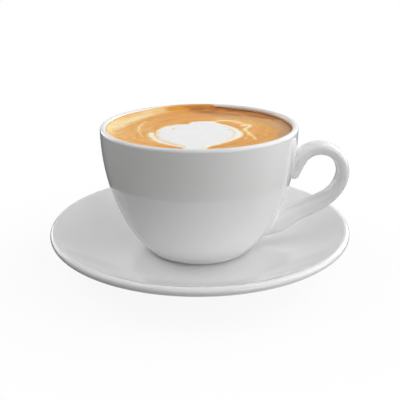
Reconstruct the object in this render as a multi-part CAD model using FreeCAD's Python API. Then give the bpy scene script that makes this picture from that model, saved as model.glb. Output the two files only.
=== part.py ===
import FreeCAD, Part
import math
import os

# A cappuccino: a glazed cup with an ear handle, standing on its saucer and filled with
# coffee, with a heart of poured milk foam in the surface.
#
# Millimetres, +Z up. The origin is on the table, at the centre of the saucer's underside.
# +X points along the handle. The heart's tip points along -Y.
#
# Pieces: saucer, cup (bowl, foot and handle are one casting), coffee, milk_foam.

# ---- saucer ----
SAUCER_DIAMETER = 152.0
SAUCER_HEIGHT = 19.0            # table to the crest of the lip
SAUCER_LIP = 3.9                # thickness of the rolled lip
SAUCER_WALL = 3.8               # thickness of the plate
FLANGE_SLOPE = 30.0             # degrees, where the flange meets the lip
WELL_HEIGHT = 5.5               # table to the flat well that the cup stands in
WELL_DIAMETER = 60.0
SAUCER_FOOT_DIAMETER = 88.0     # outside of the foot ring
SAUCER_FOOT_WIDTH = 4.4

# ---- cup bowl ----
CUP_DIAMETER = 96.7             # over the lip
CUP_HEIGHT = 64.5               # foot to the crest of the lip
CUP_LIP = 3.0                   # thickness of the rounded lip
CUP_WALL = 3.3
CUP_FLOOR = 4.6
CUP_BASE_DIAMETER = 54.0        # lower edge of the bowl
FOOT_DIAMETER = 50.4            # the foot ring, set in under the bowl
FOOT_WIDTH = 3.2
FOOT_STANDS = 0.9               # lower edge of the bowl above the saucer
FOOT_RECESS = 2.1               # depth of the hollow inside the foot ring

# ---- handle ----
HANDLE_REACH = 27.4             # from the lip to the outside of the ear
HANDLE_DROP = 9.75              # from the lip down to the top of the ear
HANDLE_TOE_HEIGHT = 35.8        # foot to the end of the toe, which lies along the wall
HANDLE_ROOT_CLEAR = 1.9         # bowl's lower edge to the underside of the lower root
HANDLE_CROWN = 6.0              # strap thickness at the top of the ear, seen from the side
HANDLE_STRAP = 6.6              # and at its outside
HANDLE_WIDTH = 9.2              # strap width, seen along the table
HANDLE_TOE = 5.2                # strap thickness and width at the toe
HANDLE_TOE_WIDTH = 7.4
HANDLE_SHOULDER = 7.0           # strap thickness where it leaves the wall
HANDLE_RUN = 8.4                # strap thickness along the lower run
HANDLE_ROOT = 12.2              # strap thickness and width where it flows into the bowl
HANDLE_ROOT_WIDTH = 13.5
HANDLE_MELT = 1.2               # fillet between the lower root and the bowl

# ---- drink ----
DRINK_BELOW_LIP = 2.3
FOAM_LENGTH = 59.0              # the heart, from its lobes to its tip on the cup's wall
FOAM_WIDTH = 41.0
FOAM_DEPTH = 3.0                # how deep the poured foam sits in the coffee
FOAM_RISE = 0.3                 # how far it stands above the coffee

AXIS = FreeCAD.Vector(0, 0, 1)
ORIGIN = FreeCAD.Vector(0, 0, 0)

lip_height = WELL_HEIGHT + CUP_HEIGHT
lip_radius = CUP_DIAMETER / 2
base_radius = CUP_BASE_DIAMETER / 2
bowl_bottom = WELL_HEIGHT + FOOT_STANDS
drink_height = lip_height - DRINK_BELOW_LIP


def at(radius, height):
    """A point or direction of a profile, in the XZ plane."""
    return FreeCAD.Vector(radius, 0, height)


def line(first, last):
    return Part.LineSegment(first, last).toShape()


def arc(first, middle, last):
    return Part.Arc(first, middle, last).toShape()


def curve(points, start=None, end=None):
    """A smooth curve through a few points, with end directions if they matter."""
    spline = Part.BSplineCurve()
    if start is None:
        spline.interpolate(Points=points)
    else:
        spline.interpolate(Points=points, InitialTangent=start, FinalTangent=end)
    return spline


def turned(edges):
    """The solid that a closed profile in the XZ plane makes when it is turned once."""
    return Part.Face(Part.Wire(edges)).revolve(ORIGIN, AXIS, 360)


def rounded(solid, radius, rings):
    """The turned solid with a fillet on each (radius, height) ring named."""
    edges = []
    for ring_radius, ring_height in rings:
        for edge in solid.Edges:
            circle = edge.Curve
            if not isinstance(circle, Part.Circle):
                continue
            same_radius = abs(circle.Radius - ring_radius) < 1e-4
            if same_radius and abs(circle.Center.z - ring_height) < 1e-4:
                edges.append(edge)
    return solid.makeFillet(radius, edges)


# ---- saucer ----

def build_saucer():
    """Flat well, a rising flange, a rolled lip, and a foot ring underneath."""
    half = SAUCER_LIP / 2
    slope = math.radians(FLANGE_SLOPE)
    along = at(math.cos(slope), math.sin(slope))
    across = at(-math.sin(slope), math.cos(slope))
    lip_centre = at(SAUCER_DIAMETER / 2 - half, SAUCER_HEIGHT - half)
    lip_top = lip_centre + across * half
    lip_under = lip_centre - across * half

    well_edge = at(WELL_DIAMETER / 2, WELL_HEIGHT)
    span = lip_top.x - well_edge.x
    middle = well_edge + at(0.52 * span, 0.27 * (lip_top.z - well_edge.z))
    top = curve([well_edge, middle, lip_top], at(span, 0), along * span)

    underside = WELL_HEIGHT - SAUCER_WALL
    foot_outside = SAUCER_FOOT_DIAMETER / 2
    foot_inside = foot_outside - SAUCER_FOOT_WIDTH
    here = top.parameter(at(foot_outside, middle.z))
    foot_root = at(foot_outside, top.value(here).z - SAUCER_WALL)
    middle_under = middle + at(0.3, -1) * SAUCER_WALL
    under = curve([lip_under, middle_under, foot_root], along * -span, at(-span, -0.2 * span))

    solid = turned([
        line(at(0, WELL_HEIGHT), well_edge),
        top.toShape(),
        arc(lip_top, lip_centre + along * half, lip_under),
        under.toShape(),
        line(foot_root, at(foot_outside, 0)),
        line(at(foot_outside, 0), at(foot_inside, 0)),
        line(at(foot_inside, 0), at(foot_inside, underside)),
        line(at(foot_inside, underside), at(0, underside)),
        line(at(0, underside), at(0, WELL_HEIGHT)),
    ])
    foot_edges = [(foot_outside, 0), (foot_inside, 0)]
    return rounded(solid, min(1.2, SAUCER_FOOT_WIDTH / 3), foot_edges)


# ---- cup ----

def bowl_curve():
    """The bowl's outside, from its lower edge to the start of the lip."""
    flare = lip_radius - base_radius
    rise = CUP_HEIGHT - FOOT_STANDS - CUP_LIP / 2
    shares = [(0, 0), (0.29, 0.115), (0.535, 0.255), (0.755, 0.44), (0.93, 0.68), (1, 1)]
    points = [at(base_radius + out * flare, bowl_bottom + up * rise) for out, up in shares]
    return curve(points, at(0.86, 1) * rise, at(-0.01, 1) * rise)


def cavity_edges(outside):
    """The inside of the bowl: a floor, and a wall at an even distance from the outside."""
    lip_centre = at(lip_radius - CUP_LIP / 2, lip_height - CUP_LIP / 2)
    lip_inside = lip_centre - at(CUP_LIP / 2, 0)
    floor = WELL_HEIGHT + CUP_FLOOR
    wall = []
    for share in (0.22, 0.36, 0.52, 0.7, 0.86):
        place = outside.FirstParameter + share * (outside.LastParameter - outside.FirstParameter)
        direction = outside.tangent(place)[0]
        inward = at(-direction.z, direction.x)
        wall.append(outside.value(place) + inward * CUP_WALL)
    floor_edge = at(wall[0].x * 0.62, floor)
    inside = curve([floor_edge] + wall + [lip_inside], at(wall[0].x, 0), at(0, CUP_HEIGHT))
    return [line(at(0, floor), floor_edge), inside.toShape()], lip_inside


def build_bowl(outside):
    """The bowl without its cavity, standing on an inset foot ring."""
    lip_centre = at(lip_radius - CUP_LIP / 2, lip_height - CUP_LIP / 2)
    lip_outside = lip_centre + at(CUP_LIP / 2, 0)
    lip_inside = lip_centre - at(CUP_LIP / 2, 0)
    foot_outside = FOOT_DIAMETER / 2
    foot_inside = foot_outside - FOOT_WIDTH
    recess = WELL_HEIGHT + FOOT_RECESS
    solid = turned([
        line(at(0, recess), at(foot_inside, recess)),
        line(at(foot_inside, recess), at(foot_inside, WELL_HEIGHT)),
        line(at(foot_inside, WELL_HEIGHT), at(foot_outside, WELL_HEIGHT)),
        line(at(foot_outside, WELL_HEIGHT), at(foot_outside, bowl_bottom)),
        line(at(foot_outside, bowl_bottom), at(base_radius, bowl_bottom)),
        outside.toShape(),
        arc(lip_outside, lip_centre + at(0, CUP_LIP / 2), lip_inside),
        line(lip_inside, at(0, lip_inside.z)),
        line(at(0, lip_inside.z), at(0, recess)),
    ])
    return rounded(solid, min(0.6, FOOT_STANDS / 2), [(base_radius, bowl_bottom)])


def wall_radius(outside, height):
    """Radius of the bowl's outside at a height above the table."""
    level = Part.LineSegment(at(0, height), at(lip_radius * 2, height))
    return outside.intersectCC(level)[0].X


def strap_route(outside):
    """Middle line of the ear: toe on the wall, over the crown, down to the lower root."""
    toe_height = WELL_HEIGHT + HANDLE_TOE_HEIGHT
    root_height = bowl_bottom + HANDLE_ROOT_CLEAR + 0.55 * HANDLE_ROOT
    toe_wall = wall_radius(outside, toe_height)
    root_wall = wall_radius(outside, root_height)
    crown = lip_height - HANDLE_DROP - HANDLE_CROWN / 2
    out = lip_radius + HANDLE_REACH - HANDLE_STRAP / 2
    high = crown - toe_height
    low = crown - root_height
    wide = out - lip_radius
    drop = out - root_wall
    return curve([
        at(toe_wall + 0.33 * HANDLE_TOE, toe_height),
        at(toe_wall + 0.60 * HANDLE_TOE, toe_height + 0.30 * high),
        at(lip_radius + 0.16 * wide, toe_height + 0.80 * high),
        at(lip_radius + 0.49 * wide, crown),
        at(lip_radius + 0.85 * wide, crown - 0.088 * low),
        at(out, crown - 0.30 * low),
        at(lip_radius + 0.87 * wide, crown - 0.52 * low),
        at(root_wall + 0.69 * drop, crown - 0.69 * low),
        at(root_wall + 0.43 * drop, crown - 0.80 * low),
        at(root_wall + 0.17 * drop, crown - 0.915 * low),
        at(root_wall - 2 * CUP_WALL, root_height + 0.12 * HANDLE_ROOT),
    ])


def strap_size(share):
    """Thickness and width of the strap at a share of its length from toe to root."""
    stops = [
        (0.0, HANDLE_TOE, HANDLE_TOE_WIDTH),
        (0.13, HANDLE_SHOULDER, HANDLE_WIDTH),
        (0.34, HANDLE_CROWN, HANDLE_WIDTH),
        (0.52, HANDLE_STRAP, HANDLE_WIDTH),
        (0.66, HANDLE_RUN, HANDLE_WIDTH),
        (0.72, HANDLE_RUN, HANDLE_WIDTH),
        (0.93, HANDLE_ROOT, HANDLE_ROOT_WIDTH),
        (1.0, HANDLE_ROOT, HANDLE_ROOT_WIDTH),
    ]
    for before, after in zip(stops, stops[1:]):
        if share <= after[0]:
            break
    part = (share - before[0]) / (after[0] - before[0])
    part = part * part * (3 - 2 * part)
    thick = before[1] + part * (after[1] - before[1])
    wide = before[2] + part * (after[2] - before[2])
    return thick, wide


def strap_section(route, share, nose):
    """A soft-cornered oval across the strap; the first ones draw in to a rounded nose."""
    place = route.parameterAtDistance(route.length() * share, route.FirstParameter)
    centre = route.value(place)
    along = route.tangent(place)[0]
    thick, wide = strap_size(share)
    drawn_in = math.sqrt(1 - 0.75 * max(0, 1 - share / nose) ** 2)
    thick *= drawn_in
    wide *= drawn_in
    across = FreeCAD.Vector(0, 1, 0)
    up = along.cross(across)
    oval = []
    for turn in range(12):
        angle = math.radians(30 * turn)
        square = (abs(math.cos(angle)) ** 2.6 + abs(math.sin(angle)) ** 2.6) ** (-1 / 2.6)
        side = across * (wide / 2 * math.cos(angle) * square)
        oval.append(centre + side + up * (thick / 2 * math.sin(angle) * square))
    edge = Part.BSplineCurve()
    edge.interpolate(Points=oval, PeriodicFlag=True)
    return Part.Wire([edge.toShape()])


def build_handle(outside):
    """The ear: ovals lofted along its middle line, from the toe to the lower root."""
    route = strap_route(outside)
    nose = HANDLE_TOE / 2 / route.length()
    stations = 17
    shares = [0, 0.2 * nose, 0.55 * nose, nose]
    shares += [nose + (1 - nose) * step / stations for step in range(1, stations + 1)]
    sections = [strap_section(route, share, nose) for share in shares]
    return Part.makeLoft(sections, True, False)


def melted(body, radius, top):
    """The body with a fillet where the lower root of the ear meets the bowl."""
    seam = []
    for edge in body.Edges:
        skins = body.ancestorsOfType(edge, Part.Face)
        lofted = [isinstance(skin.Surface, Part.BSplineSurface) for skin in skins]
        if sorted(lofted) == [False, True] and edge.CenterOfMass.z < top:
            seam.append(edge)
    return body.makeFillet(radius, seam)


def build_cup():
    """One casting: bowl, foot and handle joined and melted together, then hollowed."""
    outside = bowl_curve()
    bowl = build_bowl(outside)
    bowl.rotate(ORIGIN, AXIS, 180)
    body = bowl.fuse(build_handle(outside))
    body = melted(body, HANDLE_MELT, bowl_bottom + 1.4 * HANDLE_ROOT)
    edges, lip_inside = cavity_edges(outside)
    cavity = turned(edges + [
        line(lip_inside, at(lip_inside.x, lip_height)),
        line(at(lip_inside.x, lip_height), at(0, lip_height)),
        line(at(0, lip_height), edges[0].Vertexes[0].Point),
    ])
    return body.cut(cavity).removeSplitter()


# ---- drink ----

def drink_space():
    """Everything inside the bowl, up to the lip."""
    edges, lip_inside = cavity_edges(bowl_curve())
    return turned(edges + [
        line(lip_inside, at(0, lip_inside.z)),
        line(at(0, lip_inside.z), edges[0].Vertexes[0].Point),
    ])


def slab(bottom, top):
    """A disc wider than the cup, between two heights."""
    return Part.makeCylinder(CUP_DIAMETER, top - bottom, at(0, bottom))


def heart_prism():
    """The poured heart as an upright prism that runs past the cup's wall at its tip."""
    wall = lip_radius - CUP_LIP
    half = FOAM_WIDTH / 2
    back = FOAM_LENGTH - wall
    shares = [
        (-0.31, -1.12), (-0.32, -0.88), (-0.42, -0.79), (-0.76, -0.59), (-0.97, -0.24),
        (-0.93, -0.11), (-0.80, 0.04), (-0.59, 0.41), (-0.35, 0.62), (-0.16, 0.73),
        (-0.06, 0.97), (0.17, 1.0), (0.47, 0.83), (0.66, 0.47), (0.90, 0.12),
        (0.99, -0.14), (0.96, -0.34), (0.80, -0.54), (0.56, -0.68), (0.27, -0.79),
        (0.13, -0.88), (0.15, -1.12),
    ]
    bottom = drink_height - FOAM_DEPTH
    points = []
    for aside, along in shares:
        reach = back if along > 0 else wall
        points.append(FreeCAD.Vector(aside * half, along * reach, bottom))
    side = curve(points).toShape()
    end = line(points[-1], points[0])
    return Part.Face(Part.Wire([side, end])).extrude(AXIS * (FOAM_DEPTH + FOAM_RISE))


def build_drink():
    """The coffee up to its level with a pocket for the foam, and the foam that fills it."""
    space = drink_space()
    heart = heart_prism()
    coffee = space.common(slab(0, drink_height)).cut(heart)
    return coffee, heart.common(space)


def save(name, shape):
    solids = shape.Solids
    print(name, "solids", len(solids), "valid", shape.isValid(), "volume_cm3", round(shape.Volume / 1000, 2))
    solids[0].exportStep("parts/" + name + ".step")


os.makedirs("parts", exist_ok=True)
coffee, milk_foam = build_drink()
save("saucer", build_saucer())
save("cup", build_cup())
save("coffee", coffee)
save("milk_foam", milk_foam)
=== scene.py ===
import math
import random

import bmesh
import bpy
import numpy as np
from bpy.props import FloatProperty, FloatVectorProperty, IntProperty, PointerProperty
from bpy.types import Operator, Panel, PropertyGroup
from mathutils import Matrix, Vector, noise


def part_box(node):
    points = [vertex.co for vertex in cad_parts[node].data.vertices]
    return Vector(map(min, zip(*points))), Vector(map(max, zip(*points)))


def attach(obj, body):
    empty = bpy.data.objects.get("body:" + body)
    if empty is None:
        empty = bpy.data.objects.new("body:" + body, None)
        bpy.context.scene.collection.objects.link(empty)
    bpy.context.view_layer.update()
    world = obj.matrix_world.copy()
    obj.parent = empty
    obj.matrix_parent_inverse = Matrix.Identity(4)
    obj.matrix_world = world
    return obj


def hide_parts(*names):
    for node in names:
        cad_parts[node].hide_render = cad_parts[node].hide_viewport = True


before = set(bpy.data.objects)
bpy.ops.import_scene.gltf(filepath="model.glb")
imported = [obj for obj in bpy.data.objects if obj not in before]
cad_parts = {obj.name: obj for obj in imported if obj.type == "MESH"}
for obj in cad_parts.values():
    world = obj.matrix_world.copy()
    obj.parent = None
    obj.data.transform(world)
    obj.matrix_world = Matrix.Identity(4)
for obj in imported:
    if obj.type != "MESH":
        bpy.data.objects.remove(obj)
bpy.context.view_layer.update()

bl_info = {
    "name": "Cappuccino with a poured heart",
    "version": (1, 0, 0),
    "blender": (4, 5, 0),
    "location": "3D View > Sidebar > Cappuccino",
    "description": "A cappuccino in a porcelain cup with an ear handle, on its saucer",
    "category": "Mesh",
}

MM = 0.001
_, SAUCER_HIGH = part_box("saucer")
CUP_LOW, CUP_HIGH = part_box("cup")
_, COFFEE_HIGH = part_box("coffee")
FOAM_LOW, FOAM_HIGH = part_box("milk_foam")

SPIN_STEPS = 192            # facets round the saucer and the cup
DRINK_STEPS = 480           # facets round the drink, fine enough for its pattern
RING_GAP = 0.42 * MM        # between the drink's rings
LIP_POINTS = 22             # over a rounded lip
FLANGE_POINTS = 64          # up the saucer's flange
UNDERSIDE_POINTS = 40       # back under it
WALL_POINTS = 90            # up the bowl, and down inside it
CAVITY_POINTS = 60          # down the cavity, under the drink
HANDLE_COLUMNS = 56         # round the ear
HANDLE_ROWS = 196           # along the ear
BODY_SHARE = 1 - 2.5 / HANDLE_ROWS      # the last three rows close the shell inside the wall
FOAM_COLUMNS = 300          # round the heart
FOAM_ROWS = 70              # over its top, round its edge and under it
FINE = np.linspace(0, 1, 400)           # close shares of a line, to look a place up on it
MERGE = 1e-6                # points closer than this, in metres, are one
SAME = 1e-7                 # lengths closer than this, in metres, are equal
FAR = 99.0                  # mm, further than anything in the cup
HEART_STEPS = 220           # straight steps that stand for the heart's outline
HEART_REACH = 4.0           # mm round that outline in which distances to it count
STROKE_STEPS = 40           # straight steps that stand for a swirl
WAVES = 60.0                # the crema's slow waves, in one metre
WAVE_HEIGHT = 0.05 * MM


# ---- sizes and colours ----

def length(name, description, default):
    """A length in metres, with its default in metres too."""
    return FloatProperty(name=name, description=description, default=default, min=0.0,
                         precision=5, subtype="DISTANCE", unit="LENGTH")


def angle(name, description, degrees):
    """An angle, with its default in degrees."""
    return FloatProperty(name=name, description=description, default=math.radians(degrees),
                         subtype="ANGLE", unit="ROTATION")


def share(name, description, default):
    """A number from 0 to 1."""
    return FloatProperty(name=name, description=description, default=default, min=0.0, max=1.0,
                         subtype="FACTOR")


def linear(red, green, blue):
    """A colour as lamps mix it, from its everyday values of 0 to 255."""
    return tuple(((part / 255 + 0.055) / 1.055) ** 2.4 for part in (red, green, blue))


def colour(name, description, everyday):
    """A colour, with its default in everyday values."""
    return FloatVectorProperty(name=name, description=description, default=linear(*everyday),
                               size=3, min=0.0, max=1.0, subtype="COLOR")


class SaucerSizes(PropertyGroup):
    radius: length("Radius", "Outside of the lip", SAUCER_HIGH.x)
    height: length("Height", "Table to the crest of the lip", SAUCER_HIGH.z)
    lip: length("Lip", "Thickness of the rolled lip", 3.9 * MM)
    wall: length("Wall", "Thickness of the plate", 3.8 * MM)
    slope: angle("Flange slope", "Where the flange meets the lip", 30.0)
    well_height: length("Well height", "Table to the flat well", CUP_LOW.z)
    well_radius: length("Well radius", "Edge of the flat well", 30 * MM)
    foot_radius: length("Foot radius", "Outside of the foot ring", 44 * MM)
    foot_width: length("Foot width", "Across the foot ring", 4.4 * MM)


class CupSizes(PropertyGroup):
    radius: length("Radius", "Over the lip", -CUP_LOW.x)
    foot_level: length("Foot level", "Table to the foot", CUP_LOW.z)
    lip_level: length("Lip level", "Table to the crest of the lip", CUP_HIGH.z)
    lip: length("Lip", "Thickness of the rounded lip", 3.0 * MM)
    wall: length("Wall", "Thickness of the wall", 3.3 * MM)
    floor: length("Floor", "Foot to the inside floor", 4.6 * MM)
    base_radius: length("Base radius", "Lower edge of the bowl", 27 * MM)
    foot_radius: length("Foot radius", "Outside of the foot ring", 25.2 * MM)
    foot_width: length("Foot width", "Across the foot ring", 3.2 * MM)
    foot_stands: length("Foot stands", "Bowl above the saucer", 0.9 * MM)
    foot_recess: length("Foot recess", "Hollow inside the foot ring", 2.1 * MM)


class HandleSizes(PropertyGroup):
    outside: length("Outside", "Axis to the outside of the ear", CUP_HIGH.x)
    drop: length("Drop", "Lip down to the top of the ear", 9.75 * MM)
    toe_height: length("Toe height", "Foot to the end of the toe", 35.8 * MM)
    root_height: length("Root height", "Foot to the middle of the lower root", 9.5 * MM)
    crown: length("Crown", "Thickness at the top of the ear", 6.0 * MM)
    strap: length("Strap", "Thickness at the outside of the ear", 6.6 * MM)
    width: length("Width", "Width of the strap", 9.2 * MM)
    toe: length("Toe", "Thickness at the toe", 5.2 * MM)
    toe_width: length("Toe width", "Width at the toe", 7.4 * MM)
    shoulder: length("Shoulder", "Thickness where it leaves the wall", 7.0 * MM)
    run: length("Run", "Thickness along the lower run", 8.4 * MM)
    root: length("Root", "Thickness at the lower root", 12.4 * MM)
    root_width: length("Root width", "Width at the lower root", 13.5 * MM)
    toe_melt: length("Toe melt", "Hollow radius between the toe and the wall", 1.2 * MM)
    notch_melt: length("Notch melt", "Hollow radius between the ear's top and the wall", 2.8 * MM)
    root_melt: length("Root melt", "Hollow radius between the lower root and the wall", 2.8 * MM)


class DrinkSizes(PropertyGroup):
    level: length("Level", "Table to the drink's surface", COFFEE_HIGH.z)
    foam_rise: length("Foam rise", "Heart above the crema", FOAM_HIGH.z - COFFEE_HIGH.z)
    foam_depth: length("Foam depth", "How deep the heart sits", COFFEE_HIGH.z - FOAM_LOW.z)
    foam_edge: length("Foam edge", "Tinted margin round the white heart", 1.0 * MM)
    meniscus: length("Meniscus", "How far the crema turns up at the wall", 0.35 * MM)
    climb: length("Climb", "How far it clings to the wall at the left and the back", 1.35 * MM)
    bubbles: IntProperty(name="Bubbles", description="Small bubbles in the crema", default=150)


class Finishes(PropertyGroup):
    glaze: colour("Glaze", "White glaze", (239, 239, 239))
    biscuit: colour("Biscuit", "Bare clay under the foot rings", (206, 198, 186))
    stain: colour("Stain", "Dried coffee on the inner wall", (230, 204, 172))
    gloss: share("Glaze roughness", "Roughness of the glaze", 0.05)
    burnt: colour("Burnt crema", "Line along the wall", (116, 70, 38))
    brown: colour("Brown crema", "Crema beside that line", (164, 97, 36))
    orange: colour("Orange crema", "Crema under the back wall", (218, 142, 58))
    golden: colour("Golden crema", "Most of the surface", (233, 165, 68))
    light: colour("Light crema", "Milky swirls", (245, 196, 124))
    cream: colour("Cream", "Edges of the poured milk", (255, 230, 172))
    pale: colour("Pale milk", "Thin milk", (252, 242, 222))
    milk: colour("Milk foam", "The heart", (252, 252, 252))
    beige: colour("Beige crema", "Dull crema at the right", (194, 156, 104))


class StageSizes(PropertyGroup):
    camera_back: length("Camera back", "Camera in front of the cup's axis", 300.4 * MM)
    camera_height: length("Camera height", "Camera above the table", 141.5 * MM)
    camera_side: length("Camera side", "Camera to the right of the cup's axis", 0.2 * MM)
    camera_down: angle("Camera tilt", "Camera below the horizontal", 20.4)
    camera_roll: angle("Camera roll", "Turn of the view, right side up", 0.4)
    lens: FloatProperty(name="Lens", description="Focal length in mm", default=56.15)
    floor: length("Floor", "Half the side of the floor", 3.0)
    light: FloatProperty(name="Light", description="Strength of all the lamps together",
                         default=1.0, min=0.0)
    card: share("Table", "How light the table is that the glaze mirrors", 0.0)


# ---- lines and shells ----

def spline(points, start=None, end=None, closed=False):
    """The smooth curve through a few points, as a function of the share of its length."""
    knots = np.array(points, float)
    count = len(knots)
    following = np.roll(knots, -1, axis=0)
    gaps = np.linalg.norm(following - knots, axis=1)
    matrix = np.zeros((count, count))
    right = np.zeros_like(knots)
    for i in range(count):
        before, after = gaps[i - 1], gaps[i]
        matrix[i, i - 1] = 1 / before
        matrix[i, i] = 2 / before + 2 / after
        matrix[i, (i + 1) % count] = 1 / after
        right[i] = 3 * (knots[i] - knots[i - 1]) / before ** 2
        right[i] += 3 * (following[i] - knots[i]) / after ** 2
    if not closed:
        for row, other, direction in ((0, 1, start), (count - 1, count - 2, end)):
            gap = gaps[min(row, other)]
            matrix[row] = 0
            if direction is None:
                matrix[row, row] = 2
                matrix[row, other] = 1
                right[row] = 3 * (knots[max(row, other)] - knots[min(row, other)]) / gap
            else:
                matrix[row, row] = 1
                right[row] = np.array(direction, float) / np.linalg.norm(direction)
        gaps = gaps[:-1]
    tangents = np.linalg.solve(matrix, right)
    places = np.concatenate(([0.0], np.cumsum(gaps)))

    def along(shares):
        distance = np.clip(shares, 0, 1) * places[-1]
        first = np.clip(np.searchsorted(places, distance, side="right") - 1, 0, len(gaps) - 1)
        last = (first + 1) % count
        gap = gaps[first][..., None]
        part = (distance - places[first])[..., None] / gap
        square, cube = part ** 2, part ** 3
        return (
            knots[first] * (2 * cube - 3 * square + 1)
            + tangents[first] * (cube - 2 * square + part) * gap
            + knots[last] * (3 * square - 2 * cube)
            + tangents[last] * (cube - square) * gap
        )

    return along


def arc(centre, radius, first, last, count):
    """Points of an arc, between two angles in degrees."""
    turn = np.radians(np.linspace(first, last, count))
    return np.array(centre) + radius * np.stack((np.cos(turn), np.sin(turn)), axis=1)


def soft_corner(before, corner, after, radius, count=6):
    """A rounded corner between two straight stretches of a profile."""
    into = np.array(before, float) - corner
    out = np.array(after, float) - corner
    into *= radius / np.linalg.norm(into)
    out *= radius / np.linalg.norm(out)
    steps = np.linspace(0, 1, count)[:, None]
    first = np.array(corner) + into * (1 - steps)
    last = np.array(corner) + out * steps
    return first * (1 - steps) + last * steps


def smooth(low, high, value):
    """0 below low, 1 above high, and an even turn between."""
    part = np.clip((np.asarray(value, float) - low) / (high - low), 0, 1)
    return part * part * (3 - 2 * part)


def turned(profile, steps):
    """A closed shell: a line of points, spun once round the axis."""
    shell = bmesh.new()
    points = [shell.verts.new((radius, 0, height)) for radius, height in profile]
    edges = [shell.edges.new(pair) for pair in zip(points, points[1:])]
    bmesh.ops.spin(shell, geom=points + edges, cent=(0, 0, 0), axis=(0, 0, 1),
                   angle=2 * math.pi, steps=steps, use_merge=True, use_duplicate=False)
    bmesh.ops.remove_doubles(shell, verts=shell.verts, dist=MERGE)
    bmesh.ops.recalc_face_normals(shell, faces=shell.faces)
    return shell


def wrapped(shell, around, along, place):
    """A grid wrapped into a closed shell: place gives points for its two shares."""
    grid = bmesh.ops.create_grid(shell, x_segments=around, y_segments=along, size=1)
    corners = np.array([vert.co for vert in grid["verts"]])
    points = place((corners[:, 0] + 1) / 2, (corners[:, 1] + 1) / 2)
    for vert, point in zip(grid["verts"], points):
        vert.co = point
    bmesh.ops.remove_doubles(shell, verts=grid["verts"], dist=MERGE)


def new_object(shell, name, material):
    """The shell as an object of the scene, in one material."""
    mesh = bpy.data.meshes.new(name)
    shell.to_mesh(mesh)
    shell.free()
    mesh.materials.append(material)
    made = bpy.data.objects.new(name, mesh)
    bpy.context.scene.collection.objects.link(made)
    return made


def add_piece(shell, name, material, nodes=()):
    """The shell as a smooth piece that rides with the cup and may stand for CAD nodes."""
    bmesh.ops.recalc_face_normals(shell, faces=shell.faces)
    made = new_object(shell, name, material)
    made.data.shade_smooth()
    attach(made, "root")
    if nodes:
        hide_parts(*nodes)
    return made


def places_of(made):
    """The object's points as rows of numbers."""
    flat = np.empty(len(made.data.vertices) * 3)
    made.data.vertices.foreach_get("co", flat)
    return flat.reshape(-1, 3)


def paint(made, name, values):
    """Stores one number a point, for the material to read."""
    layer = made.data.attributes.new(name, "FLOAT", "POINT")
    layer.data.foreach_set("value", np.asarray(values, np.float32))


# ---- saucer ----

def saucer_profile(sizes):
    """Axis, well, flange, lip, underside, foot ring and back to the axis."""
    half = sizes.lip / 2
    along = np.array((math.cos(sizes.slope), math.sin(sizes.slope)))
    across = np.array((-along[1], along[0]))
    centre = np.array((sizes.radius - half, sizes.height - half))
    top = centre + across * half
    edge = np.array((sizes.well_radius, sizes.well_height))
    middle = edge + (top - edge) * (0.52, 0.27)
    flange = spline([edge, middle, top], (1, 0), along)
    tilt = math.degrees(sizes.slope)
    lip = arc(centre, half, tilt + 90, tilt - 90, LIP_POINTS)

    below = sizes.well_height - sizes.wall
    foot_inside = sizes.foot_radius - sizes.foot_width
    over_foot = flange(FINE)
    root_height = np.interp(sizes.foot_radius, over_foot[:, 0], over_foot[:, 1]) - sizes.wall
    foot_root = np.array((sizes.foot_radius + 0.8 * MM, root_height + 0.1 * MM))
    middle_under = middle + np.array((0.3, -1)) * sizes.wall
    under = spline([lip[-1], middle_under, foot_root], -along, (-1, -0.2))
    outer, inner = (sizes.foot_radius, 0), (foot_inside, 0)
    return np.concatenate((
        [(0, sizes.well_height)],
        np.linspace((4 * MM, sizes.well_height), edge, 8)[:-1],
        flange(np.linspace(0, 1, FLANGE_POINTS)),
        lip[1:-1],
        under(np.linspace(0, 1, UNDERSIDE_POINTS)),
        soft_corner(foot_root, (sizes.foot_radius, root_height), outer, 0.7 * MM)[1:],
        soft_corner((sizes.foot_radius, root_height), outer, inner, 1.2 * MM),
        soft_corner(outer, inner, (foot_inside, below), 1.2 * MM),
        soft_corner(inner, (foot_inside, below), (0, below), 0.6 * MM),
        [(4 * MM, below), (0, below)],
    ))


# ---- cup ----

def bowl_outside(sizes):
    """The bowl's outside, from its lower edge to the start of the lip."""
    bottom = sizes.foot_level + sizes.foot_stands
    flare = sizes.radius - sizes.base_radius
    rise = sizes.lip_level - bottom - sizes.lip / 2
    shares = [(0, 0), (0.29, 0.115), (0.535, 0.255), (0.755, 0.44), (0.93, 0.68), (1, 1)]
    points = [(sizes.base_radius + out * flare, bottom + up * rise) for out, up in shares]
    return spline(points, (0.86, 1), (-0.01, 1))


def bowl_inside(sizes):
    """The cavity's wall, from the floor up to the start of the lip."""
    outside = bowl_outside(sizes)
    floor = sizes.foot_level + sizes.floor
    wall = []
    for place in (0.22, 0.36, 0.52, 0.7, 0.86):
        before, here, after = outside(np.array((place - 0.01, place, place + 0.01)))
        tangent = (after - before) / np.linalg.norm(after - before)
        wall.append(here + np.array((-tangent[1], tangent[0])) * sizes.wall)
    floor_edge = (wall[0][0] * 0.62, floor)
    lip_start = (sizes.radius - sizes.lip, sizes.lip_level - sizes.lip / 2)
    return spline([floor_edge] + wall + [lip_start], (1, 0), (0, 1))


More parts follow.
